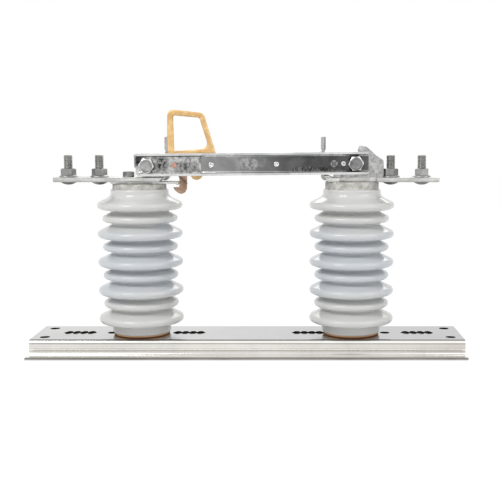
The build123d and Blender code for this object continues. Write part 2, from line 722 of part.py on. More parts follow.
def main():
    """Make every piece of the switch."""
    os.makedirs("parts", exist_ok=True)
    jaw_seat = blade_gap + blade_sheet + doubler_sheet
    hinge_seat = blade_gap + blade_sheet
    keeper_underside = pad_underside - keeper_thickness
    write("base_channel", base_channel())
    for name, x in (("jaw", jaw_x), ("hinge", post_x)):
        write(f"insulator_{name}", porcelain(x))
        write(f"foot_ring_{name}", foot_ring(x))
        write(f"foot_bolts_{name}", foot_bolts(x))
    write("cap_jaw", post_cap(jaw_x, keeper_underside, jaw_pad_bolt_x))
    write("cap_hinge", post_cap(post_x, pad_underside, hinge_pad_bolt_x))
    write("latch_keeper", latch_keeper())
    write("terminal_pad_jaw", terminal_pad_jaw())
    write("terminal_pad_hinge", terminal_pad_hinge())
    write("pad_bolt_jaw", pad_bolt(jaw_pad_bolt_x, pad_top, keeper_underside))
    write("pad_bolt_hinge", pad_bolt(hinge_pad_bolt_x, pad_top + bracket_foot, pad_underside))
    for number, x in enumerate(stud_places(), start=1):
        write(f"terminal_bolt_{number}", terminal_bolt(x))
        write(f"terminal_nut_{number}", terminal_nut(x))
    write("jaw_contact", jaw_contact())
    write("hinge_bracket", hinge_bracket())
    for name, side in (("near", -1), ("far", 1)):
        write(f"blade_{name}", blade(side))
        write(f"blade_doubler_{name}", doubler(side))
    for name, distance, seat in (("jaw", jaw_bolt_at, jaw_seat), ("hinge", 0.0, hinge_seat)):
        write(f"{name}_bolt", cross_bolt(distance, seat))
        write(f"{name}_washers", cross_washers(distance, seat))
        write(f"{name}_nut", cross_nut(distance, seat))
    write("tie_rivet_latch", tie_rivet(latch_tie_at, tie_radius, tie_head_radius, tie_head_height))
    write("tie_rivet_middle", tie_rivet(middle_tie_at, tie_radius, tie_head_radius, tie_head_height))
    write("tie_spacers", tie_spacers())
    write("guide_pin", tie_rivet(guide_pin_at, guide_pin_radius, guide_pin_head, tie_head_height,
                                 tie_spacer_radius))
    write("stop_pin", tie_rivet(stop_pin_at, stop_pin_radius, stop_pin_radius, stop_pin_stand))
    write("ring_pivot_pin", ring_pivot_pin())
    write("pivot_collars", pivot_collars())
    write("pull_ring", pull_ring())
    write("latch_hook", latch_hook())
    write("hook_rivet", hook_rivet())
    write("latch_spring", latch_spring())


if __name__ == "__main__":
    main()
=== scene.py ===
"""The looks of a hook-stick operated disconnect switch, in metres.

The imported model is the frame: +X runs from the jaw end to the hinge end, +Y to the back
and +Z up, from the centre of the base's underside. Each sub-assembly is a class that
makes its detailed pieces and dresses the solids it keeps.
"""

import json
import logging
import math
from dataclasses import dataclass
from enum import Enum
from typing import Callable

import bmesh
import bpy
from mathutils import Matrix, Vector


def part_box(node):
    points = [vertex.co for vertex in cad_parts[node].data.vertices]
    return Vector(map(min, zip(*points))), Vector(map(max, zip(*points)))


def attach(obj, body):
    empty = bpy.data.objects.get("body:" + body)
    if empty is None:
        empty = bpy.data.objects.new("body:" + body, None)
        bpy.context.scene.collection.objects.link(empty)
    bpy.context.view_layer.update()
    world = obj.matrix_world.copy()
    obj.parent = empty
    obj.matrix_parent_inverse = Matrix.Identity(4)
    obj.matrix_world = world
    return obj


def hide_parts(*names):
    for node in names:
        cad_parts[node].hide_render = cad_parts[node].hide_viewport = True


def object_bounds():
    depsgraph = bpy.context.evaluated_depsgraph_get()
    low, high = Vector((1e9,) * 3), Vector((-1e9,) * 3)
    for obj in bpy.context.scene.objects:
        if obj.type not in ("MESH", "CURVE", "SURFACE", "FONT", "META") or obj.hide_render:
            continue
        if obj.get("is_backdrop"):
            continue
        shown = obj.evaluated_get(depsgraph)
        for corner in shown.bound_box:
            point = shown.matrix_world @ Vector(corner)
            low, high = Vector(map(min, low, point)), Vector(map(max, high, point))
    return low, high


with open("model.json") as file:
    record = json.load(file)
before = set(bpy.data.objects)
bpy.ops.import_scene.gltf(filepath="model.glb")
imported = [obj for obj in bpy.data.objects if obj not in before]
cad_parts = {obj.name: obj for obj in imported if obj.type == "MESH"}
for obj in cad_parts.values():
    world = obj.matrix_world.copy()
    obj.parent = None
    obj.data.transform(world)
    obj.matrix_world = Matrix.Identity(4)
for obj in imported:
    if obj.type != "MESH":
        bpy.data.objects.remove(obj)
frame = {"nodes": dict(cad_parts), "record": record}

log = logging.getLogger("switch")
MM = 0.001
Colour = tuple[float, float, float]
Point = tuple[float, float, float]
Reach = float | Callable[[float], float]


def paint(red: int, green: int, blue: int) -> Colour:
    """Turn a colour of 0 to 255 a channel into the linear numbers of a shader.

    Args:
        red: The red of the finished surface.
        green: The green of it.
        blue: The blue of it.

    Returns:
        The same colour in linear light.
    """
    def linear(channel: int) -> float:
        """Return one channel in linear light."""
        share = channel / 255
        return share / 12.92 if share <= 0.04045 else ((share + 0.055) / 1.055) ** 2.4

    return linear(red), linear(green), linear(blue)


class Value:
    """A number that varies over a surface or a mesh, written like a Python number."""

    def __init__(self, tree: "Tree", socket: bpy.types.NodeSocket) -> None:
        """Wrap one output socket of a tree."""
        self.tree = tree
        self.socket = socket

    def apply(self, operation: str, *others: "Value | float") -> "Value":
        """Add a Math node whose first input is this value.

        Args:
            operation: The Math node's operation.
            others: The values or numbers of its other inputs.

        Returns:
            The node's result.
        """
        return self.tree.maths(operation, self, *others)

    def __add__(self, other: "Value | float") -> "Value":
        """Return self + other."""
        return self.apply("ADD", other)

    def __radd__(self, other: float) -> "Value":
        """Return other + self."""
        return self.apply("ADD", other)

    def __sub__(self, other: "Value | float") -> "Value":
        """Return self - other."""
        return self.apply("SUBTRACT", other)

    def __rsub__(self, other: float) -> "Value":
        """Return other - self."""
        return self.tree.maths("SUBTRACT", other, self)

    def __mul__(self, other: "Value | float") -> "Value":
        """Return self * other."""
        return self.apply("MULTIPLY", other)

    def __rmul__(self, other: float) -> "Value":
        """Return other * self."""
        return self.apply("MULTIPLY", other)

    def __truediv__(self, other: "Value | float") -> "Value":
        """Return self / other."""
        return self.apply("DIVIDE", other)

    def between(self, low: float, high: float) -> "Value":
        """Return 0 below low, 1 above high, and a smooth step from one to the other."""
        node = self.tree.node("ShaderNodeMapRange", {"interpolation_type": "SMOOTHSTEP"},
                              {"Value": self, "From Min": low, "From Max": high})
        return Value(self.tree, node.outputs[0])


class Tree:
    """A node tree that is built by expressions."""

    def __init__(self, nodes: bpy.types.NodeTree) -> None:
        """Take a shader or geometry tree, emptied."""
        self.nodes = nodes
        nodes.nodes.clear()

    def node(self, kind: str, settings: dict[str, object] | None = None,
             sockets: dict[str | int, object] | None = None) -> bpy.types.Node:
        """Add one node.

        Args:
            kind: The node's type.
            settings: Its settings, which are set first.
            sockets: The value or link of each input, by name or by number.

        Returns:
            The new node.
        """
        node = self.nodes.nodes.new(kind)
        for name, setting in (settings or {}).items():
            setattr(node, name, setting)
        for key, given in (sockets or {}).items():
            self.feed(node.inputs[key], given)
        return node

    def feed(self, socket: bpy.types.NodeSocket, given: object) -> None:
        """Link or set one input.

        Args:
            socket: The input.
            given: A value or socket to link, or a number, vector or colour to set.
        """
        if isinstance(given, Value):
            given = given.socket
        if isinstance(given, bpy.types.NodeSocket):
            self.nodes.links.new(given, socket)
        elif socket.type == "RGBA" and len(given) == 3:
            socket.default_value = (*given, 1.0)
        else:
            socket.default_value = given

    def maths(self, operation: str, *values: Value | float) -> Value:
        """Add a Math node over the values and return its result."""
        node = self.node("ShaderNodeMath", {"operation": operation}, dict(enumerate(values)))
        return Value(self, node.outputs[0])


class Surface(Tree):
    """The shader tree of one material."""

    def __init__(self, name: str) -> None:
        """Start a material.

        Args:
            name: The material's name.
        """
        self.material = bpy.data.materials.new(name)
        self.material.use_nodes = True
        super().__init__(self.material.node_tree)
        self.place = self.node("ShaderNodeTexCoord").outputs["Object"]

    def stretched(self, scale: Point) -> bpy.types.NodeSocket:
        """Return the object's coordinates, scaled by axis."""
        return self.node("ShaderNodeMapping", None, {"Vector": self.place, "Scale": scale}).outputs[0]

    def axes(self) -> tuple[Value, Value, Value]:
        """Return the object's X, Y and Z."""
        node = self.node("ShaderNodeSeparateXYZ", None, {0: self.place})
        return tuple(Value(self, socket) for socket in node.outputs)

    def noise(self, scale: float | Point, detail: float = 3.0, rough: float = 0.5,
              warp: float = 0.0) -> Value:
        """Add a smooth random pattern.

        Args:
            scale: The patches a metre, in all or by axis.
            detail: How many finer layers it has.
            rough: How strong the finer layers are.
            warp: How far it is twisted.

        Returns:
            A value of about 0 to 1.
        """
        stretch = (scale, scale, scale) if isinstance(scale, (int, float)) else scale
        node = self.node("ShaderNodeTexNoise", None,
                         {"Vector": self.stretched(stretch), "Scale": 1.0, "Detail": detail,
                          "Roughness": rough, "Distortion": warp})
        return Value(self, node.outputs["Fac"])

    def crystals(self, scale: float) -> Value:
        """Add a pattern of crystals, each with a random shade.

        Args:
            scale: The crystals a metre.

        Returns:
            The shade, of 0 to 1.
        """
        node = self.node("ShaderNodeTexVoronoi", {"feature": "F1"},
                         {"Vector": self.stretched((scale,) * 3), "Scale": 1.0, "Randomness": 1.0})
        shade = self.node("ShaderNodeSeparateColor", None, {0: node.outputs["Color"]})
        return Value(self, shade.outputs[0])

    def blend(self, share: Value | float, low: object, high: object) -> bpy.types.NodeSocket:
        """Mix two colours.

        Args:
            share: The share of the second, of 0 to 1.
            low: The first colour.
            high: The second colour.

        Returns:
            The mixed colour.
        """
        node = self.node("ShaderNodeMix", {"data_type": "RGBA", "clamp_factor": True},
                         {0: share, 6: low, 7: high})
        return node.outputs[2]

    def bumps(self, height: Value, depth: float) -> bpy.types.NodeSocket:
        """Return the normals of a surface with bumps of that depth in metres."""
        node = self.node("ShaderNodeBump", None, {"Strength": 1.0, "Distance": depth, "Height": height})
        return node.outputs[0]

    def coat(self, **sockets: object) -> bpy.types.Material:
        """Finish the material with one principled shader.

        Args:
            sockets: Its inputs, named with underscores for spaces.

        Returns:
            The material.
        """
        named = {key.replace("_", " "): value for key, value in sockets.items()}
        shader = self.node("ShaderNodeBsdfPrincipled", None, named)
        self.node("ShaderNodeOutputMaterial", None, {"Surface": shader.outputs[0]})
        return self.material


def box_share(surface: Surface, low: Point, high: Point, soft: Point, mirrored: bool = True) -> Value:
    """Mark a soft-edged box of a surface.

    Args:
        surface: The material.
        low: The box's low corner, in metres.
        high: Its high corner.
        soft: How far each side fades, by axis.
        mirrored: Whether the box's Y counts from the middle to both sides.

    Returns:
        1 inside the box and 0 outside it.
    """
    share = None
    across, aside, height = surface.axes()
    if mirrored:
        aside = aside.apply("ABSOLUTE")
    for axis, start, end, fade in zip((across, aside, height), low, high, soft):
        inside = axis.between(start - fade, start + fade) * (1.0 - axis.between(end - fade, end + fade))
        share = inside if share is None else share * inside
    return share


@dataclass(frozen=True)
class PaintedLightAndTone:
    """A soft-edged box of a surface with two tones of its own, mostly painted light, shade and reflections, and
    a few plain tones.

    Attributes:
        pale: The lighter tone inside it.
        dark: The darker tone inside it.
        low: The box's low corner, in metres.
        high: Its high corner.
        soft: How far each side fades, by axis.
        mirrored: Whether the box's Y counts from the middle to both sides.
        mottle: The blotches a metre that it has of its own, or 0 to share the metal's.
    """

    pale: Colour
    dark: Colour
    low: Point
    high: Point
    soft: Point = (0.0005, 0.0005, 0.0005)
    mirrored: bool = True
    mottle: float | Point = 0.0

    def colour(self, surface: Surface, tone: Value) -> bpy.types.NodeSocket:
        """Colour the inside of the box.

        Args:
            surface: The material.
            tone: The metal's tone, used where the box has no blotches of its own.

        Returns:
            The box's own colour.
        """
        if self.mottle:
            tone = surface.noise(self.mottle, 5.0, 0.65, 0.4).between(0.4, 0.6)
        return surface.blend(tone, self.dark, self.pale)

    def share(self, surface: Surface) -> Value:
        """Return 1 inside the box and 0 outside it."""
        return box_share(surface, self.low, self.high, self.soft, self.mirrored)


@dataclass(frozen=True)
class Metal:
    """A bare or plated metal: two tones in patches, crystals, drawn grain, a bump, and boxes of painted light
    and tone over them.
    """

    name: str
    pale: Colour
    dark: Colour
    patches: float = 60.0
    patch_edge: tuple[float, float] = (0.35, 0.65)
    crystals: float = 900.0
    crystal_share: float = 0.15
    grain: Point = (300.0, 300.0, 300.0)
    grain_share: float = 0.2
    smooth: float = 0.25
    rough: float = 0.45
    metallic: float = 1.0
    relief: float = 0.00002
    stains: tuple[PaintedLightAndTone, ...] = ()

    def material(self) -> bpy.types.Material:
        """Build the material.

        Returns:
            The material.
        """
        surface = Surface(self.name)
        patch = surface.noise(self.patches, 5.0, 0.6, 0.6).between(*self.patch_edge)
        crystal = surface.crystals(self.crystals)
        grain = surface.noise(self.grain, 4.0, 0.6)
        tone = (patch * (1.0 - self.crystal_share - self.grain_share)
                + crystal * self.crystal_share + grain * self.grain_share)
        colour = surface.blend(tone, self.dark, self.pale)
        # Boxes of painted highlight, shade and reflection, and a few plain tones, go over the metal's own
        # colour.
        for overlay in self.stains:
            colour = surface.blend(overlay.share(surface), colour, overlay.colour(surface, tone))
        return surface.coat(
            Base_Color=colour,
            Metallic=self.metallic,
            Roughness=self.rough - tone * (self.rough - self.smooth),
            Normal=surface.bumps(grain * 0.6 + crystal * 0.4, self.relief))


@dataclass(frozen=True)
class Glaze:
    """The light grey glaze of the posts."""

    name: str
    pale: Colour = paint(212, 212, 210)
    blue: Colour = paint(203, 207, 211)
    speck: Colour = paint(176, 174, 168)

    def material(self) -> bpy.types.Material:
        """Build the material.

        Returns:
            The material.
        """
        surface = Surface(self.name)
        _, _, height = surface.axes()
        band = (height + surface.noise(9.0) * 0.05).between(0.09, 0.13)
        band = band * (1.0 - (height + surface.noise(11.0) * 0.05).between(0.185, 0.225))
        tint = surface.blend(band, self.pale, self.blue)
        specks = surface.noise(1400.0, 1.0).between(0.70, 0.78)
        cloud = surface.noise((14.0, 14.0, 70.0), 3.0)
        return surface.coat(
            Base_Color=surface.blend(specks * 0.5, tint, self.speck),
            Roughness=0.12 + cloud * 0.12,
            IOR=1.42,
            Coat_Weight=0.3,
            Coat_Roughness=0.05,
            Normal=surface.bumps(surface.noise(55.0, 2.0), 0.00012))


@dataclass(frozen=True)
class Clay:
    """The bare fired clay of a post's foot, darker at its lower edge as painted shade and reflection."""

    name: str
    pale: Colour = paint(226, 184, 134)
    dark: Colour = paint(178, 126, 82)
    # Painted shade and reflection: the dark brown of the foot's lower edge, where it stands on the base.
    seat: Colour = paint(84, 48, 28)

    def material(self) -> bpy.types.Material:
        """Build the material.

        Returns:
            The material.
        """
        surface = Surface(self.name)
        grain = surface.noise(700.0, 4.0, 0.7)
        cloud = surface.noise(50.0, 3.0)
        _, _, height = surface.axes()
        fired = surface.blend(grain * 0.5 + cloud * 0.5, self.dark, self.pale)
        return surface.coat(
            Base_Color=surface.blend(height.between(0.0238, 0.0250), self.seat, fired),
            Roughness=0.75 + grain * 0.15,
            Normal=surface.bumps(grain, 0.0001))


@dataclass(frozen=True)
class Finishes:
    """Every finish of the switch: one for each material slot of the record, and one for the bracket."""

    base_steel: Metal = Metal(
        "brushed_sheet", paint(214, 212, 209), paint(194, 192, 188), patches=7.0, crystals=90.0,
        crystal_share=0.02, grain=(3.0, 900.0, 900.0), grain_share=0.09, smooth=0.1, rough=0.17,
        relief=0.0000004,
        stains=(
            # Painted shade, near black, on the walls of the holes and on the underside of the top sheet.
            PaintedLightAndTone(paint(40, 38, 36), paint(16, 15, 15), (-0.3055, -0.01, 0.0201), (0.3055, 0.0455, 0.0226),
                  (0.0005, 0.0005, 0.0002)),
            # Painted light and shade on the top: a plain grey, darker towards the hinge end.
            PaintedLightAndTone(paint(199, 199, 199), paint(191, 191, 191), (-0.4, -0.01, 0.0227), (0.4, 0.0464, 0.024)),
            PaintedLightAndTone(paint(176, 176, 177), paint(168, 168, 169), (0.08, -0.01, 0.0227), (0.8, 0.0464, 0.024),
                  (0.22, 0.0005, 0.0005)),
            # Painted light on the outer faces of the sides, paler than the top, with painted shade towards the
            # hinge end.
            PaintedLightAndTone(paint(236, 235, 230), paint(222, 220, 215), (-0.4, 0.05, 0.005), (0.4, 0.053, 0.0176)),
            PaintedLightAndTone(paint(212, 206, 201), paint(196, 189, 184), (0.16, 0.05, 0.005), (0.8, 0.053, 0.0176),
                  (0.2, 0.0005, 0.0005)),
            # Painted reflection along the top bend of each side: a dark line, a white highlight band under it
            # and a grey line under that.
            PaintedLightAndTone(paint(66, 65, 63), paint(48, 47, 46), (-0.4, 0.0466, 0.0219), (0.4, 0.055, 0.024),
                  (0.0005, 0.0004, 0.0003)),
            PaintedLightAndTone(paint(250, 249, 244), paint(240, 238, 233), (-0.4, 0.0464, 0.0184), (0.4, 0.055, 0.0219),
                  (0.0005, 0.0004, 0.0003)),
            PaintedLightAndTone(paint(150, 148, 144), paint(130, 128, 124), (-0.4, 0.0464, 0.0172), (0.4, 0.055, 0.0184),
                  (0.0005, 0.0004, 0.0003)),
            # Lines along the sides: two faint darker lines, then a white painted highlight line with a painted
            # shade line under it.
            PaintedLightAndTone(paint(216, 214, 207), paint(204, 202, 195), (-0.4, 0.0464, 0.0142), (0.4, 0.053, 0.0150),
                  (0.0005, 0.0004, 0.0003)),
            PaintedLightAndTone(paint(210, 208, 201), paint(196, 194, 187), (-0.4, 0.0464, 0.0108), (0.4, 0.053, 0.0117),
                  (0.0005, 0.0004, 0.0003)),
            PaintedLightAndTone(paint(252, 250, 243), paint(244, 242, 234), (-0.4, 0.0464, 0.0083), (0.4, 0.053, 0.0095),
                  (0.0005, 0.0004, 0.0003)),
            PaintedLightAndTone(paint(184, 182, 174), paint(166, 164, 156), (-0.4, 0.0464, 0.0069), (0.4, 0.053, 0.0081),
                  (0.0005, 0.0004, 0.0003)),
            # Along the lip at the foot of each side: a white painted highlight on its top, a dark painted line
            # at its outer edge and painted shade on its outer face.
            PaintedLightAndTone(paint(250, 249, 246), paint(242, 241, 238), (-0.4, 0.0514, -0.001), (0.4, 0.0748, 0.0060),
                  (0.0005, 0.0004, 0.0003)),
            PaintedLightAndTone(paint(84, 82, 79), paint(62, 60, 58), (-0.4, 0.0716, 0.0024), (0.4, 0.08, 0.0042),
                  (0.0005, 0.0004, 0.0003)),
            PaintedLightAndTone(paint(172, 170, 166), paint(150, 148, 144), (-0.4, 0.0750, -0.001), (0.4, 0.08, 0.0024),
                  (0.0005, 0.0003, 0.0003))))
    porcelain: Glaze = Glaze("grey_glaze")
    bare_clay: Clay = Clay("bare_clay")
    cap_metal: Metal = Metal(
        "rough_cap", paint(222, 220, 214), paint(142, 140, 134), patches=110.0,
        patch_edge=(0.3, 0.7), crystals=500.0, crystal_share=0.15, grain=(500.0, 500.0, 500.0),
        grain_share=0.3, smooth=0.45, rough=0.7, metallic=0.6, relief=0.0003)
    bolt_zinc: Metal = Metal(
        "bolt_zinc", paint(170, 170, 168), paint(134, 134, 133), patches=70.0, crystals=1500.0,
        crystal_share=0.06, grain=(700.0, 700.0, 700.0), grain_share=0.12, smooth=0.36, rough=0.5,
        relief=0.00001,
        stains=(PaintedLightAndTone(paint(164, 164, 161), paint(134, 134, 132), (0.19, -0.02, 0.2628), (0.27, 0.02, 0.29)),
                PaintedLightAndTone(paint(164, 164, 161), paint(134, 134, 132), (-0.27, -0.02, 0.2628), (-0.19, 0.02, 0.29)),
                # Painted shade: darker under the bars, over the studs' round heads.
                PaintedLightAndTone(paint(120, 120, 118), paint(84, 84, 84), (-0.3, -0.02, 0.23), (0.3, 0.02, 0.2438)),
                # Painted highlight in a bright band on the sides of both blade bolts' heads, and painted dark
                # reflection on the front of the hinge bolt's head.
                PaintedLightAndTone(paint(240, 240, 239), paint(214, 214, 213), (0.13, -0.0217, 0.25),
                      (0.17, -0.0192, 0.285), (0.0003, 0.0002, 0.0003), mirrored=False),
                PaintedLightAndTone(paint(240, 240, 239), paint(214, 214, 213), (-0.17, -0.0239, 0.25),
                      (-0.12, -0.0222, 0.285), (0.0003, 0.0002, 0.0003), mirrored=False),
                PaintedLightAndTone(paint(140, 140, 140), paint(104, 104, 104), (0.13, -0.0245, 0.25),
                      (0.17, -0.0217, 0.285), (0.0003, 0.0002, 0.0003), mirrored=False)))
    pad_metal: Metal = Metal(
        "tinned_bar", paint(232, 232, 229), paint(178, 178, 175), patches=45.0,
        crystals=450.0, crystal_share=0.08, grain=(25.0, 420.0, 420.0), grain_share=0.25,
        smooth=0.26, rough=0.42, relief=0.00002,
        # Painted shade in two darker bands along the front and back faces of the bars and the keeper.
        stains=(PaintedLightAndTone(paint(198, 198, 196), paint(168, 168, 166), (-0.3, 0.0246, 0.243), (0.3, 0.0275, 0.2462)),
                PaintedLightAndTone(paint(184, 184, 182), paint(156, 156, 154), (-0.3, 0.0246, 0.2496),
                      (0.3, 0.0275, 0.2515)),
                # Above the bars the upright prongs take a darker tone, with painted shade down their right-hand
                # sides.
                PaintedLightAndTone(paint(204, 204, 203), paint(150, 150, 149), (-0.13, 0.0275, 0.2525), (0.12, 0.05, 0.31)),
                PaintedLightAndTone(paint(116, 116, 115), paint(70, 70, 70), (-0.1176, 0.0275, 0.2525),
                      (-0.115, 0.05, 0.31)),
                PaintedLightAndTone(paint(116, 116, 115), paint(70, 70, 70), (0.1108, 0.0275, 0.2525), (0.114, 0.05, 0.31))))
    blade_metal: Metal = Metal(
        "silvered_channel", paint(232, 232, 231), paint(186, 187, 188), patches=26.0,
        crystals=260.0, crystal_share=0.04, grain=(16.0, 380.0, 380.0), grain_share=0.25,
        smooth=0.14, rough=0.28, relief=0.00001,
        # Painted dark reflection in the webs: grey along their length, near black towards the hinge, a mottled
        # patch in the middle and a dark mottled patch low down near the hinge.
        stains=(PaintedLightAndTone(paint(160, 160, 160), paint(134, 134, 135), (-0.2, -0.0134, 0.2585),
                      (0.2, 0.0134, 0.2805), (0.001, 0.0003, 0.0016)),
                PaintedLightAndTone(paint(88, 88, 88), paint(40, 40, 42), (0.03, -0.0134, 0.2585),
                      (0.2, 0.0134, 0.2815), (0.09, 0.0003, 0.0016)),
                PaintedLightAndTone(paint(176, 176, 176), paint(120, 120, 120), (-0.012, -0.0134, 0.262),
                      (0.018, 0.0134, 0.2775), (0.012, 0.0003, 0.004), mottle=(190.0, 190.0, 190.0)),
                PaintedLightAndTone(paint(118, 118, 118), paint(36, 36, 37), (0.062, -0.0134, 0.258),
                      (0.122, 0.0134, 0.2655), (0.02, 0.0003, 0.002), mottle=(420.0, 200.0, 160.0))))
    liner_metal: Metal = Metal(
        "spangled_liner", paint(214, 214, 213), paint(118, 118, 118), patches=150.0,
        patch_edge=(0.38, 0.62), crystals=420.0, crystal_share=0.14, grain=(420.0, 420.0, 420.0),
        grain_share=0.18, smooth=0.22, rough=0.4, relief=0.00005,
        # Painted dark reflection on the liners at the jaw end: near black left of the bolt head and dark
        # mottled patches to its right.
        stains=(PaintedLightAndTone(paint(92, 92, 92), paint(26, 26, 27), (-0.17, -0.0152, 0.268), (-0.148, 0.0152, 0.284),
                      (0.002, 0.0003, 0.003)),
                PaintedLightAndTone(paint(150, 150, 149), paint(46, 46, 47), (-0.129, -0.0152, 0.26), (-0.114, 0.0152, 0.279),
                      (0.004, 0.0003, 0.004), mottle=(260.0, 260.0, 260.0)),
                PaintedLightAndTone(paint(164, 164, 163), paint(84, 84, 84), (-0.102, -0.0152, 0.258),
                      (-0.072, 0.0152, 0.272), (0.006, 0.0003, 0.004), mottle=(210.0, 210.0, 210.0))))
    bracket_zinc: Metal = Metal(
        "spangled_bracket", paint(218, 218, 217), paint(128, 128, 128), patches=120.0,
        patch_edge=(0.3, 0.7), crystals=330.0, crystal_share=0.25, grain=(420.0, 420.0, 420.0),
        grain_share=0.2, smooth=0.25, rough=0.42, relief=0.00006)
    pin_bright: Metal = Metal(
        "bright_pin", paint(240, 240, 240), paint(170, 170, 170), patches=320.0,
        crystals=900.0, grain=(900.0, 900.0, 900.0), smooth=0.15, rough=0.35, relief=0.00002,
        # Painted dark reflection on the guide pin's face, and a small dark spot on the pin beside it.
        stains=(PaintedLightAndTone(paint(136, 136, 136), paint(90, 90, 90), (0.1188, -0.02, 0.2655), (0.1266, 0.02, 0.2735)),
                PaintedLightAndTone(paint(96, 96, 96), paint(50, 50, 50), (0.1355, -0.02, 0.2694), (0.1378, 0.02, 0.2705),
                      (0.0002, 0.0005, 0.0002))))
    pivot_copper: Metal = Metal(
        "copper_pin", paint(232, 182, 164), paint(170, 118, 104), patches=420.0,
        crystals=1200.0, grain=(900.0, 900.0, 900.0), smooth=0.28, rough=0.45, relief=0.00003)
    bronze: Metal = Metal(
        "cast_bronze", paint(236, 203, 148), paint(204, 163, 106), patches=75.0,
        crystals=900.0, crystal_share=0.1, grain=(650.0, 650.0, 650.0), grain_share=0.25,
        smooth=0.36, rough=0.52, metallic=0.7, relief=0.0001)
    # Copper-toned bronze for the hook, darker than the ring's as painted shade under the blade.
    hook_bronze: Metal = Metal(
        "shaded_copper_bronze", paint(206, 174, 150), paint(138, 108, 90), patches=130.0,
        crystals=900.0, crystal_share=0.12, grain=(650.0, 650.0, 650.0), grain_share=0.3,
        smooth=0.38, rough=0.56, metallic=0.7, relief=0.00008)
    spring_wire: Metal = Metal(
        "spring_wire", paint(138, 132, 126), paint(72, 68, 66), patches=300.0,
        crystals=900.0, grain=(900.0, 900.0, 900.0), smooth=0.3, rough=0.5, relief=0.00002)


class Wardrobe:
    """Makes each finish once and puts it on the pieces."""

    def __init__(self, finishes: Finishes) -> None:
        """Keep the finishes, with nothing made yet."""
        self.finishes = finishes
        self.made: dict[str, bpy.types.Material] = {}

    def material(self, slot: str) -> bpy.types.Material:
        """Return the material of a slot of the record."""
        if slot not in self.made:
            self.made[slot] = getattr(self.finishes, slot).material()
        return self.made[slot]

    def dress(self, piece: bpy.types.Object, slot: str) -> None:
        """Put a slot's material on a whole piece.

        Args:
            piece: The piece.
            slot: The slot of the record.
        """
        material = self.material(slot)
        if not piece.data.materials:
            piece.data.materials.append(material)
        for index in range(len(piece.data.materials)):
            piece.data.materials[index] = material


@dataclass(frozen=True)
class Camera:
    """The photograph's camera."""

    place: Point = (0.0574, -1.3471, 0.3114)
    tilt_down: float = 7.05
    lens: float = 67.5
    shift: float = -0.0758
    sensor: float = 36.0

    def build(self) -> bpy.types.Object:
        """Add the camera and make it the scene's own.

        Returns:
            The camera.
        """
        lens = bpy.data.cameras.new("camera")
        lens.lens = self.lens
        lens.sensor_width = self.sensor
        lens.shift_x = self.shift
        lens.clip_start = 0.01
        camera = bpy.data.objects.new("camera", lens)
        camera.location = self.place
        camera.rotation_euler = (math.radians(90.0 - self.tilt_down), 0.0, 0.0)
        bpy.context.scene.collection.objects.link(camera)
        bpy.context.scene.camera = camera
        return camera


@dataclass(frozen=True)
class Lamp:
    """A soft studio lamp that points at the middle of the switch."""

    name: str
    place: Point
    size: float
    power: float

    def build(self, target: Vector) -> bpy.types.Object:
        """Add the lamp.

        Args:
            target: The place that it points at.

        Returns:
            The lamp.
        """
        light = bpy.data.lights.new(self.name, "AREA")
        light.shape = "SQUARE"
        light.size = self.size
        light.energy = self.power
        lamp = bpy.data.objects.new(self.name, light)
        lamp.location = self.place
        aim = (target - Vector(self.place)).to_track_quat("-Z", "Y")
        lamp.rotation_euler = aim.to_euler()
        bpy.context.scene.collection.objects.link(lamp)
        return lamp


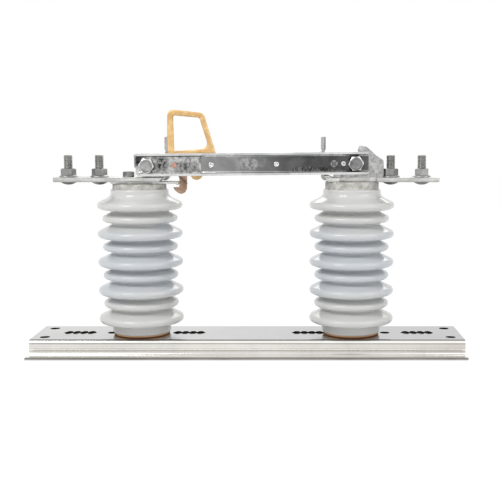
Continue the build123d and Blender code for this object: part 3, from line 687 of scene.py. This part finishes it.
@dataclass(frozen=True)
class Studio:
    """The floor, the white surround and the lamps.

    Attributes:
        floor_size: The floor's width.
        floor_tone: The tone of its plain face.
        glow: The strength of the white that it shows.
        glow_share: The white's share where it is looked at.
        ambient: The surround's light, where 1 is white.
        channel_low: The low corner of the space inside the channel, where the floor doesn't glow.
        channel_high: Its high corner.
        channel_soft: How far its sides fade.
        lamps: The lamps.
    """

    floor_size: float = 12.0
    floor_tone: float = 0.92
    glow: float = 1.08
    glow_share: float = 0.88
    ambient: float = 0.46
    channel_low: Point = (-0.307, -0.01, -0.01)
    channel_high: Point = (0.307, 0.0455, 0.01)
    channel_soft: Point = (0.001, 0.001, 0.001)
    lamps: tuple[Lamp, ...] = (
        Lamp("key_lamp", (-1.3, -1.5, 1.9), 1.2, 30.0),
        Lamp("fill_lamp", (1.6, -1.2, 1.3), 1.4, 13.0),
        Lamp("back_lamp", (0.2, 1.6, 1.6), 1.6, 14.0),
    )

    def build(self) -> None:
        """Build the whole studio."""
        bpy.context.scene.view_settings.view_transform = "Standard"
        self.build_world()
        floor = self.build_floor()
        floor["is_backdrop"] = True
        low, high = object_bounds()
        for lamp in self.lamps:
            lamp.build((low + high) / 2)

    @staticmethod
    def seen_directly(tree: Tree) -> Value:
        """Tell the rays that look at the surround from those that it lights.

        Args:
            tree: The shader tree.

        Returns:
            1 for rays that look at, mirror or pass to the surround, and 0 for its light.
        """
        rays = tree.node("ShaderNodeLightPath").outputs
        camera = Value(tree, rays["Is Camera Ray"])
        glossy = Value(tree, rays["Is Glossy Ray"])
        clear = Value(tree, rays["Is Transmission Ray"])
        return camera.apply("MAXIMUM", glossy).apply("MAXIMUM", clear)

    def build_world(self) -> None:
        """Make the surround white to look at and an even, weaker light."""
        world = bpy.data.worlds.new("surround")
        world.use_nodes = True
        tree = Tree(world.node_tree)
        seen = self.seen_directly(tree)
        strength = self.ambient + seen * (1.0 - self.ambient)
        white = tree.node("ShaderNodeBackground", None, {"Color": (1.0, 1.0, 1.0), "Strength": strength})
        tree.node("ShaderNodeOutputWorld", None, {"Surface": white.outputs[0]})
        bpy.context.scene.world = world

    def build_floor(self) -> bpy.types.Object:
        """Lay the pale floor under the switch, with only its plain face inside the channel.

        Returns:
            The floor.
        """
        half = self.floor_size / 2
        floor = flat_sheet("floor", [(-half, -half, 0.0), (half, -half, 0.0),
                                     (half, half, 0.0), (-half, half, 0.0)])
        surface = Surface("pale_floor")
        inside = box_share(surface, self.channel_low, self.channel_high, self.channel_soft)
        seen = self.seen_directly(surface) * (1.0 - inside)
        plain = surface.node("ShaderNodeBsdfDiffuse", None, {"Color": (self.floor_tone,) * 3})
        white = surface.node("ShaderNodeEmission", None, {"Color": (1.0, 1.0, 1.0), "Strength": self.glow})
        mixed = surface.node("ShaderNodeMixShader", None,
                             {0: seen * self.glow_share, 1: plain.outputs[0], 2: white.outputs[0]})
        surface.node("ShaderNodeOutputMaterial", None, {"Surface": mixed.outputs[0]})
        floor.data.materials.append(surface.material)
        return floor


def flat_sheet(name: str, corners: list[Point]) -> bpy.types.Object:
    """Make a flat sheet from its corners.

    Args:
        name: The object's name.
        corners: The corners in order.

    Returns:
        The sheet as an object of the scene.
    """
    mesh = bpy.data.meshes.new(name)
    mesh.from_pydata(corners, [], [tuple(range(len(corners)))])
    sheet = bpy.data.objects.new(name, mesh)
    bpy.context.scene.collection.objects.link(sheet)
    return sheet


class Body(Enum):
    """The rigid bodies of the switch, by their names in the frame."""

    BASE = "base"
    BLADE = "blade"
    RING = "ring_and_hook"


@dataclass(frozen=True)
class Turning:
    """A skin of rings round an axis.

    Attributes:
        rings: The radius and the height of each ring, each a number or a rule by angle.
        hollow: Whether the last ring joins the first round a hole; else both ends are closed.
        steps: The points of a ring, a multiple of six so that a hexagon's corners fall on points.
    """

    rings: tuple[tuple[Reach, Reach], ...]
    hollow: bool = False
    steps: int = 72

    def add_to(self, solid: bmesh.types.BMesh, place: Matrix) -> None:
        """Add the skin to a mesh.

        Args:
            solid: The mesh that receives it.
            place: Where its axis and height zero lie.
        """
        turns = [math.tau * step / self.steps for step in range(self.steps)]
        loops = [[solid.verts.new(place @ Vector((value(radius, turn) * math.cos(turn),
                                                  value(radius, turn) * math.sin(turn),
                                                  value(height, turn))))
                  for turn in turns] for radius, height in self.rings]
        pairs = list(zip(loops, loops[1:]))
        if self.hollow:
            pairs.append((loops[-1], loops[0]))
        else:
            solid.faces.new(loops[0])
            solid.faces.new(loops[-1])
        for low, high in pairs:
            for step in range(self.steps):
                after = (step + 1) % self.steps
                solid.faces.new((low[step], low[after], high[after], high[step]))


def value(reach: Reach, turn: float) -> float:
    """Return a radius or a height at an angle.

    Args:
        reach: The number, or the rule by angle.
        turn: The angle in radians.

    Returns:
        The number at that angle.
    """
    return reach(turn) if callable(reach) else reach


@dataclass(frozen=True)
class Hexagon:
    """A hexagon head or nut, with corners cut by a chamfer cone.

    Attributes:
        flats: The width across flats.
        height: The height over the seat.
        face: The radius of the flat ring inside the chamfer.
        slope: The chamfer's slope.
        dish: The depth of a head's dish, by its height.
        dish_rim: The radius at which the dish starts, by the face's.
        dish_floor: The radius of its floor, by the face's.
        lead: The chamfer of a nut's bore.
    """

    flats: float
    height: float
    face: float
    slope: float = 0.577
    dish: float = 0.06
    dish_rim: float = 0.78
    dish_floor: float = 0.7
    lead: float = 0.6 * MM

    def side(self, turn: float) -> float:
        """Return the radius of the hexagon at an angle."""
        return self.flats / 2 / math.cos(turn % math.radians(60.0) - math.radians(30.0))

    def drop(self, turn: float) -> float:
        """Return how far the chamfer has cut down the side at an angle."""
        return max(0.0, self.side(turn) - self.face) * self.slope

    def head(self) -> Turning:
        """Return a bolt head with a shallow dish in its face."""
        return Turning(((self.side, 0.0), (self.side, lambda turn: self.height - self.drop(turn)),
                        (self.face, self.height), (self.face * self.dish_rim, self.height),
                        (self.face * self.dish_floor, self.height * (1.0 - self.dish))))

    def nut(self, bore: float) -> Turning:
        """Return a plain nut, chamfered on both faces.

        Args:
            bore: The radius of the hole.

        Returns:
            The nut's skin.
        """
        lead = self.lead
        return Turning(((bore, lead), (bore + lead, 0.0), (self.face, 0.0), (self.side, self.drop),
                        (self.side, lambda turn: self.height - self.drop(turn)), (self.face, self.height),
                        (bore + lead, self.height), (bore, self.height - lead)), hollow=True)

    def flange_nut(self, bore: float, flange: float, rise: float) -> Turning:
        """Return a nut that widens into a flange at its seat.

        Args:
            bore: The radius of the hole.
            flange: The flange's radius.
            rise: The height of the flange where it meets the flats.

        Returns:
            The nut's skin.
        """
        lead = self.lead
        brim = rise * 0.35

        def shoulder(turn: float) -> float:
            """Return the height at which the flange meets the flats at an angle."""
            return brim + (flange - self.side(turn)) / (flange - self.flats / 2) * (rise - brim)

        return Turning(((bore, 0.0), (flange - brim * 0.4, 0.0), (flange, brim * 0.5),
                        (flange - brim * 0.2, brim), (self.side, shoulder),
                        (self.side, lambda turn: self.height - self.drop(turn)), (self.face, self.height),
                        (bore + lead, self.height), (bore, self.height - lead)), hollow=True)


class Recipe(Tree):
    """A Geometry Nodes tree with named inputs, which turns points into finished pieces."""

    def __init__(self, name: str, inputs: dict[str, float | int]) -> None:
        """Start an empty recipe.

        Args:
            name: The tree's name.
            inputs: The name and the usual value of each input.
        """
        group = bpy.data.node_groups.new(name, "GeometryNodeTree")
        super().__init__(group)
        group.interface.new_socket(name="Geometry", in_out="OUTPUT", socket_type="NodeSocketGeometry")
        group.interface.new_socket(name="Geometry", in_out="INPUT", socket_type="NodeSocketGeometry")
        self.keys: dict[str, str] = {}
        for key, usual in inputs.items():
            kind = "NodeSocketInt" if isinstance(usual, int) else "NodeSocketFloat"
            socket = group.interface.new_socket(name=key, in_out="INPUT", socket_type=kind)
            socket.default_value = usual
            self.keys[key] = socket.identifier
        finish = group.interface.new_socket(name="Material", in_out="INPUT", socket_type="NodeSocketMaterial")
        self.keys["Material"] = finish.identifier
        self.given = self.node("NodeGroupInput").outputs

    def number(self, key: str) -> Value:
        """Return an input as a value."""
        return Value(self, self.given[key])

    def end(self, geometry: bpy.types.NodeSocket) -> None:
        """Finish the tree: real mesh, with its material.

        Args:
            geometry: The instances or mesh to give out.
        """
        real = self.node("GeometryNodeRealizeInstances", None, {"Geometry": geometry})
        clad = self.node("GeometryNodeSetMaterial", None,
                         {"Geometry": real.outputs[0], "Material": self.given["Material"]})
        self.node("NodeGroupOutput", None, {"Geometry": clad.outputs[0]})

    def make(self, points: list[Point], settings: dict[str, object]) -> bpy.types.Mesh:
        """Run the recipe on some points.

        Args:
            points: The places of the pieces.
            settings: The value of each input that differs from the usual one.

        Returns:
            The finished mesh.
        """
        seed = bpy.data.meshes.new("places")
        seed.from_pydata(points, [], [])
        holder = bpy.data.objects.new("places", seed)
        bpy.context.scene.collection.objects.link(holder)
        modifier = holder.modifiers.new("recipe", "NODES")
        modifier.node_group = self.nodes
        for key, setting in settings.items():
            modifier[self.keys[key]] = setting
        graph = bpy.context.evaluated_depsgraph_get()
        mesh = bpy.data.meshes.new_from_object(holder.evaluated_get(graph))
        holder.modifiers.remove(modifier)
        bpy.data.objects.remove(holder)
        return mesh


def threaded_rod() -> Recipe:
    """Build the recipe of a rod with a cut thread and a chamfered tip.

    Returns:
        The recipe; each point given to it becomes a rod that starts there.
    """
    recipe = Recipe("threaded_rod", {"Radius": 6.35 * MM, "Pitch": 1.954 * MM, "Depth": 0.8 * MM,
                                     "Length": 30.0 * MM, "Lead": 1.2 * MM, "Tilt": 0.0,
                                     "Around": 49, "Along": 200})
    radius, pitch, length = (recipe.number(key) for key in ("Radius", "Pitch", "Length"))
    sheet = recipe.node("GeometryNodeMeshGrid", None,
                        {"Size X": 1.0, "Size Y": 1.0, "Vertices X": recipe.number("Around"),
                         "Vertices Y": recipe.number("Along")})
    place = recipe.node("GeometryNodeInputPosition").outputs[0]
    across, along, _ = (Value(recipe, socket)
                        for socket in recipe.node("ShaderNodeSeparateXYZ", None, {0: place}).outputs)
    turn = across + 0.5
    travel = (along + 0.5) * (length + radius)
    height = travel.apply("MINIMUM", length)
    inward = (travel - length).apply("MAXIMUM", 0.0)
    phase = (height / pitch - turn).apply("FRACT")
    crest = 0.12
    flank = ((phase - 0.5).apply("ABSOLUTE") * 2.0 - crest) / (1.0 - 2.0 * crest)
    flank = flank.apply("MAXIMUM", 0.0).apply("MINIMUM", 1.0)
    thread = radius - recipe.number("Depth") * (1.0 - flank)
    tip = radius - recipe.number("Lead") + (length - height)
    # The first ring alone shrinks to a point, which closes the rod's start.
    start = ((along + 0.5) * 1000.0).apply("MINIMUM", 1.0)
    reach = thread.apply("MINIMUM", tip) * (1.0 - inward / radius) * start
    angle = turn * math.tau
    spot = recipe.node("ShaderNodeCombineXYZ", None,
                       {0: reach * angle.apply("COSINE"), 1: reach * angle.apply("SINE"), 2: height})
    shaped = recipe.node("GeometryNodeSetPosition", None,
                         {"Geometry": sheet.outputs[0], "Position": spot.outputs[0]})
    closed = recipe.node("GeometryNodeMergeByDistance", None,
                         {"Geometry": shaped.outputs[0], "Distance": 0.01 * MM})
    lean = recipe.node("ShaderNodeCombineXYZ", None, {0: recipe.number("Tilt")})
    facing = recipe.node("FunctionNodeEulerToRotation", None, {0: lean.outputs[0]})
    rods = recipe.node("GeometryNodeInstanceOnPoints", None,
                       {"Points": recipe.given["Geometry"], "Instance": closed.outputs[0],
                        "Rotation": facing.outputs[0]})
    recipe.end(rods.outputs[0])
    return recipe


@dataclass(frozen=True)
class Easing:
    """How the sharp edges of a solid are eased.

    Attributes:
        width: The width of the eased edge.
        steps: The facets across it.
        from_angle: The sharpest turn that stays as it is, in degrees.
    """

    width: float = 0.4 * MM
    steps: int = 2
    from_angle: float = 32.0

    def copy(self, node: bpy.types.Object) -> bmesh.types.BMesh:
        """Return an eased copy of a CAD solid.

        Args:
            node: The solid, which is left as it is.

        Returns:
            The copy as a loose mesh.
        """
        solid = bmesh.new()
        solid.from_mesh(node.data)
        bmesh.ops.remove_doubles(solid, verts=solid.verts, dist=0.004 * MM)
        bmesh.ops.dissolve_limit(solid, angle_limit=math.radians(0.4), verts=solid.verts, edges=solid.edges)
        for face in solid.faces:
            turns = [edge.calc_face_angle(0.0) for edge in face.edges]
            face.smooth = any(math.radians(0.5) < turn < math.radians(self.from_angle) for turn in turns)
        sharp = [edge for edge in solid.edges
                 if edge.is_manifold and edge.calc_face_angle(0.0) > math.radians(self.from_angle)]
        eased = bmesh.ops.bevel(solid, geom=sharp, offset=self.width, segments=self.steps, profile=0.5,
                                affect="EDGES", clamp_overlap=True)
        for face in eased["faces"]:
            face.smooth = True
        return solid


class Assembly:
    """A group of pieces that are built and dressed together."""

    def __init__(self, wardrobe: "Wardrobe", rods: Recipe) -> None:
        """Keep what every assembly needs.

        Args:
            wardrobe: The finishes.
            rods: The recipe of threaded rods.
        """
        self.wardrobe = wardrobe
        self.rods = rods

    def keep(self, *nodes: str) -> None:
        """Dress CAD solids that are shown as they are."""
        for name in nodes:
            self.wardrobe.dress(frame["nodes"][name], slot_of(name))
            log.info("dressed %s", name)

    def show(self, name: str, solid: bmesh.types.BMesh, body: Body, *nodes: str,
             smooth_to: float | None = None, finish: str | None = None) -> bpy.types.Object:
        """Show a new piece in place of CAD solids.

        Args:
            name: The piece's name.
            solid: Its mesh, which is used up.
            body: The body it rides on.
            nodes: The solids it stands for, whose finish it takes.
            smooth_to: The sharpest turn shaded smooth, in degrees, or None to keep the faces' own shading.
            finish: A finish other than that of the solids' slot.

        Returns:
            The new piece.
        """
        bmesh.ops.recalc_face_normals(solid, faces=solid.faces)
        mesh = bpy.data.meshes.new(name)
        solid.to_mesh(mesh)
        solid.free()
        if smooth_to is not None:
            mesh.polygons.foreach_set("use_smooth", [True] * len(mesh.polygons))
            mesh.set_sharp_from_angle(angle=math.radians(smooth_to))
        piece = bpy.data.objects.new(name, mesh)
        bpy.context.scene.collection.objects.link(piece)
        self.wardrobe.dress(piece, finish or slot_of(nodes[0]))
        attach(piece, body.value)
        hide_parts(*nodes)
        log.info("built %s with %d faces", name, len(mesh.polygons))
        return piece

    def cut(self, piece: bpy.types.Object, cutter: bmesh.types.BMesh, flat_from: float = 0.0004) -> None:
        """Cut closed shapes out of a piece.

        Args:
            piece: The piece, whose mesh is replaced.
            cutter: The shapes, which are used up.
            flat_from: The area from which a face is shaded flat, in square metres, so that the
                bends beside a broad face don't tilt its shading.
        """
        bmesh.ops.recalc_face_normals(cutter, faces=cutter.faces)
        mesh = bpy.data.meshes.new("cutter")
        cutter.to_mesh(mesh)
        cutter.free()
        tool = bpy.data.objects.new("cutter", mesh)
        bpy.context.scene.collection.objects.link(tool)
        modifier = piece.modifiers.new("cut", "BOOLEAN")
        modifier.operation = "DIFFERENCE"
        modifier.solver = "EXACT"
        modifier.object = tool
        graph = bpy.context.evaluated_depsgraph_get()
        result = bpy.data.meshes.new_from_object(piece.evaluated_get(graph))
        piece.modifiers.remove(modifier)
        for face in result.polygons:
            face.use_smooth = face.use_smooth and face.area < flat_from
        former, piece.data = piece.data, result
        result.name = piece.name
        bpy.data.meshes.remove(former)
        bpy.data.objects.remove(tool)
        bpy.data.meshes.remove(mesh)
        log.info("cut %s to %d faces", piece.name, len(result.polygons))

    def lift_edge(self, name: str, body: Body, easing: Easing, line: Callable[[float], float],
                  rise: float) -> None:
        """Show an eased copy whose upper edge reaches higher.

        Args:
            name: The solid.
            body: The body it rides on.
            easing: How its edges are eased.
            line: The height over which points are lifted, by their X.
            rise: How far they are lifted.
        """
        solid = easing.copy(frame["nodes"][name])
        for corner in solid.verts:
            if corner.co.z > line(corner.co.x):
                corner.co.z += rise
        self.show(f"{name}_eased", solid, body, name)

    def ease(self, body: Body, easing: Easing, *nodes: str, finish: str | None = None) -> None:
        """Show eased copies of CAD solids.

        Args:
            body: The body they ride on.
            easing: How their edges are eased.
            nodes: The solids.
            finish: A finish other than that of the solids' slot.
        """
        for name in nodes:
            self.show(f"{name}_eased", easing.copy(frame["nodes"][name]), body, name, finish=finish)


def slot_of(node: str) -> str:
    """Return the record's material slot of a CAD solid."""
    return next(part["material_slot"] for part in frame["record"]["subparts"] if part["node"] == node)


def middle_of(node: str) -> Vector:
    """Return the middle of a CAD solid's box."""
    low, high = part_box(node)
    return (low + high) / 2


def facing(place: Vector, tilt: float, spin: float = 0.0) -> Matrix:
    """Return the placing of a turned piece.

    Args:
        place: Where its height zero lies.
        tilt: The turn about X that lays its axis over, in degrees.
        spin: The turn about its own axis, in degrees.

    Returns:
        The matrix.
    """
    return (Matrix.Translation(place) @ Matrix.Rotation(math.radians(tilt), 4, "X")
            @ Matrix.Rotation(math.radians(spin), 4, "Z"))


@dataclass
class BaseChannel:
    """The formed channel and the bolt heads under it.

    Attributes:
        slot_centres: The X of the four chain slots.
        slot_pitch: The distance between the lobes of a slot.
        lobe: Half the width and half the length of a lobe.
        through: The height of the sheet's middle, and half the depth of the cut.
    """

    shop: Assembly
    easing: Easing = Easing(0.5 * MM, 3)
    hexagon: Hexagon = Hexagon(14.3 * MM, 6.2 * MM, 6.5 * MM)
    bolt_spread: float = 20.2 * MM
    slot_centres: tuple[float, ...] = (-246.0 * MM, -87.0 * MM, 87.0 * MM, 246.0 * MM)
    slot_pitch: float = 11.0 * MM
    lobe: tuple[float, float] = (5.4 * MM, 11.0 * MM)
    through: tuple[float, float] = (21.5 * MM, 3.0 * MM)

    def build(self) -> None:
        """Ease the channel, lengthen its slots and make the heads of the eight foot bolts."""
        self.shop.ease(Body.BASE, self.easing, "base_channel")
        self.lengthen_slots()
        for end in ("jaw", "hinge"):
            self.build_heads(end)

    def lengthen_slots(self) -> None:
        """Cut the oval lobes that reach out of each chain slot to both sides."""
        middle, half = self.through
        wide, long = self.lobe
        cutter = bmesh.new()
        for centre in self.slot_centres:
            for step in (-1.5, -0.5, 0.5, 1.5):
                place = Matrix.Translation((centre + step * self.slot_pitch, 0.0, middle))
                oval = place @ Matrix.Diagonal((1.0, long / wide, 1.0, 1.0))
                Turning(((wide, -half), (wide, half)), steps=48).add_to(cutter, oval)
        self.shop.cut(bpy.data.objects["base_channel_eased"], cutter)

    def build_heads(self, end: str) -> None:
        """Make the four heads under one post.

        Args:
            end: The post, jaw or hinge.
        """
        name = f"foot_bolts_{end}"
        middle = middle_of(name)
        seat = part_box(name)[0].z + self.hexagon.height
        heads = bmesh.new()
        for side in (-1, 1):
            for way in (-1, 1):
                place = Vector((middle.x + side * self.bolt_spread, middle.y + way * self.bolt_spread, seat))
                self.hexagon.head().add_to(heads, facing(place, 180.0, 11.0 * side * way))
        self.shop.show(f"foot_bolt_heads_{end}", heads, Body.BASE, name, smooth_to=25.0)


@dataclass
class Posts:
    """The two porcelain posts with their bare feet and their caps."""

    shop: Assembly

    def build(self) -> None:
        """Dress both posts."""
        for end in ("jaw", "hinge"):
            self.shop.keep(f"insulator_{end}", f"foot_ring_{end}", f"cap_{end}")


@dataclass
class Terminals:
    """The two terminal bars with studs, nuts, bolts, contact, bracket and keeper."""

    shop: Assembly
    easing: Easing = Easing(0.5 * MM, 2)
    bracket_easing: Easing = Easing(0.9 * MM, 3)
    nut: Hexagon = Hexagon(19.05 * MM, 12.2 * MM, 8.9 * MM)
    small_head: Hexagon = Hexagon(14.3 * MM, 6.2 * MM, 6.4 * MM)
    bore: float = 5.6 * MM
    flange: float = 13.2 * MM
    flange_rise: float = 3.4 * MM
    head_radius: float = 12.6 * MM
    head_height: float = 4.8 * MM
    washer_radius: float = 8.2 * MM
    washer_height: float = 1.6 * MM
    nut_spins: tuple[float, ...] = (6.0, 10.0, -14.0, 22.0)

    def build(self) -> None:
        """Build everything that stands on the caps."""
        self.shop.ease(Body.BASE, self.easing, "terminal_pad_jaw", "terminal_pad_hinge",
                       "latch_keeper", "jaw_contact")
        self.shop.ease(Body.BASE, self.bracket_easing, "hinge_bracket", finish="bracket_zinc")
        self.build_studs()
        for number, spin in enumerate(self.nut_spins, start=1):
            self.build_nut(number, spin)
        for end in ("jaw", "hinge"):
            self.build_pad_bolt(end)

    def build_studs(self) -> None:
        """Make the four threaded studs with their round heads under the bars."""
        names = [f"terminal_bolt_{number}" for number in range(1, 5)]
        low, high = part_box(names[0])
        seat = low.z + self.head_height
        places = [(middle_of(name).x, 0.0, seat) for name in names]
        rods = self.shop.rods.make(places, {"Length": high.z - seat, "Along": 172})
        studs = bmesh.new()
        studs.from_mesh(rods)
        ball = (self.head_radius ** 2 + self.head_height ** 2) / (2 * self.head_height)
        curve = [math.asin(self.head_radius / ball) * share / 8 for share in range(1, 9)]
        rings = tuple((ball * math.sin(turn), ball * (math.cos(turn) - 1) + self.head_height) for turn in curve)
        dome = Turning((*rings, (self.head_radius * 0.94, 0.0)))
        for place in places:
            dome.add_to(studs, facing(Vector(place), 180.0))
        self.shop.show("terminal_studs", studs, Body.BASE, *names, smooth_to=50.0)

    def build_nut(self, number: int, spin: float) -> None:
        """Make one flange nut.

        Args:
            number: The nut's number in its name.
            spin: Its turn about its own axis, in degrees.
        """
        name = f"terminal_nut_{number}"
        low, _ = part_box(name)
        middle = middle_of(name)
        nut = bmesh.new()
        turned = self.nut.flange_nut(self.bore, self.flange, self.flange_rise)
        turned.add_to(nut, facing(Vector((middle.x, middle.y, low.z)), 0.0, spin))
        self.shop.show(f"flange_nut_{number}", nut, Body.BASE, name, smooth_to=25.0)

    def build_pad_bolt(self, end: str) -> None:
        """Make the hex bolt and washer that hold one bar on its cap.

        Args:
            end: The bar, jaw or hinge.
        """
        name = f"pad_bolt_{end}"
        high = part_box(name)[1].z
        middle = middle_of(name)
        seat = high - self.small_head.height - self.washer_height
        bolt = bmesh.new()
        edge = 0.25 * MM
        washer = Turning(((self.washer_radius - edge, 0.0), (self.washer_radius, edge),
                          (self.washer_radius, self.washer_height - edge),
                          (self.washer_radius - edge, self.washer_height)))
        washer.add_to(bolt, facing(Vector((middle.x, 0.0, seat)), 0.0))
        top = Vector((middle.x, 0.0, seat + self.washer_height))
        self.small_head.head().add_to(bolt, facing(top, 0.0, 17.0))
        self.shop.show(f"pad_bolt_head_{end}", bolt, Body.BASE, name, smooth_to=25.0)


@dataclass
class Blade:
    """The two channels of the blade with their liners, bolts, ties and pins."""

    shop: Assembly
    easing: Easing = Easing(0.35 * MM, 2)
    liner_easing: Easing = Easing(0.3 * MM, 2)
    pin_easing: Easing = Easing(0.45 * MM, 3)
    head: Hexagon = Hexagon(19.05 * MM, 8.0 * MM, 8.2 * MM)
    nut: Hexagon = Hexagon(19.05 * MM, 10.5 * MM, 8.9 * MM)
    bore: float = 5.6 * MM
    rivet_radius: float = 4.0 * MM
    rivet_height: float = 1.6 * MM
    head_spins: tuple[tuple[str, float], ...] = (("jaw", -7.0), ("hinge", 4.0))
    hinge: tuple[float, float] = (153.7 * MM, 270.0 * MM)
    droop: float = 0.55
    liner_lift: float = 1.8 * MM

    def near_top(self, x: float) -> float:
        """Return a height just under the liners' upper edge, which follows the blade's droop."""
        return self.hinge[1] + (x - self.hinge[0]) * math.tan(math.radians(self.droop)) + 8.5 * MM

    def build(self) -> None:
        """Build everything that swings with the blade."""
        self.shop.ease(Body.BLADE, self.easing, "blade_near", "blade_far")
        self.shop.ease(Body.BLADE, self.liner_easing, "jaw_washers", "hinge_washers")
        for side in ("near", "far"):
            self.shop.lift_edge(f"blade_doubler_{side}", Body.BLADE, self.liner_easing, self.near_top,
                                self.liner_lift)
        self.shop.ease(Body.BLADE, self.pin_easing, "guide_pin", "stop_pin", "ring_pivot_pin")
        self.shop.keep("pivot_collars", "tie_spacers")
        for end, spin in self.head_spins:
            self.build_bolt(end, spin)
            self.build_nut(end, spin)
        for tie in ("latch", "middle"):
            self.build_rivet(tie)

    def build_bolt(self, end: str, spin: float) -> None:
        """Make one hex bolt, with its thread showing past the nut.

        Args:
            end: The end of the blade, jaw or hinge.
            spin: The head's turn about its own axis, in degrees.
        """
        name = f"{end}_bolt"
        low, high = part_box(name)
        middle = middle_of(name)
        seat = low.y + self.head.height
        nut_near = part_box(f"{end}_nut")[0].y
        rod = self.shop.rods.make([(middle.x, nut_near, middle.z)],
                                  {"Length": high.y - nut_near, "Tilt": math.radians(-90.0), "Along": 90})
        bolt = bmesh.new()
        bolt.from_mesh(rod)
        self.head.head().add_to(bolt, facing(Vector((middle.x, seat, middle.z)), 90.0, spin))
        radius = 6.3 * MM
        shank = Turning(((radius, 0.0), (radius, nut_near - seat)), steps=36)
        shank.add_to(bolt, facing(Vector((middle.x, seat, middle.z)), -90.0))
        self.shop.show(f"{end}_bolt_cut", bolt, Body.BLADE, name, smooth_to=30.0)

    def build_nut(self, end: str, spin: float) -> None:
        """Make the nut behind the blade.

        Args:
            end: The end of the blade, jaw or hinge.
            spin: The bolt head's turn, of which the nut has twice as much.
        """
        name = f"{end}_nut"
        low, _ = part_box(name)
        middle = middle_of(name)
        nut = bmesh.new()
        self.nut.nut(self.bore).add_to(nut, facing(Vector((middle.x, low.y, middle.z)), -90.0, spin * 2))
        self.shop.show(f"{end}_nut_cut", nut, Body.BLADE, name, smooth_to=25.0)

    def build_rivet(self, tie: str) -> None:
        """Make one tubular rivet with a rolled head on each channel.

        Args:
            tie: The tie, latch or middle.
        """
        name = f"tie_rivet_{tie}"
        low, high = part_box(name)
        middle = middle_of(name)
        rim, tall = self.rivet_radius, self.rivet_height
        half = (high.y - low.y) / 2 - tall
        roll = [(rim * share, half + tall * lift) for share, lift in
                ((1.0, 0.0), (1.0, 0.35), (0.88, 0.8), (0.7, 1.0), (0.52, 0.86), (0.42, 0.3), (0.36, 0.0))]
        mirror = [(radius, -height) for radius, height in reversed(roll)]
        rivet = bmesh.new()
        Turning(tuple(mirror + roll), steps=48).add_to(rivet, facing(middle, -90.0))
        self.shop.show(f"rivet_{tie}", rivet, Body.BLADE, name, smooth_to=70.0)


@dataclass
class Latch:
    """The pull ring with its hook, rivet and spring."""

    shop: Assembly
    ring_easing: Easing = Easing(0.5 * MM, 3)
    hook_easing: Easing = Easing(0.6 * MM, 3)

    def build(self) -> None:
        """Build everything that turns on the pivot."""
        self.shop.ease(Body.RING, self.ring_easing, "pull_ring")
        self.shop.ease(Body.RING, self.hook_easing, "latch_hook", "hook_rivet")
        self.shop.keep("latch_spring")


def main() -> None:
    """Build the studio and every assembly of the switch."""
    logging.basicConfig(level=logging.INFO, format="%(name)s: %(message)s")
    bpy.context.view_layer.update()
    Camera().build()
    Studio().build()
    shop = Assembly(Wardrobe(Finishes()), threaded_rod())
    for group in (BaseChannel, Posts, Terminals, Blade, Latch):
        group(shop).build()


if __name__ == "__main__":
    main()
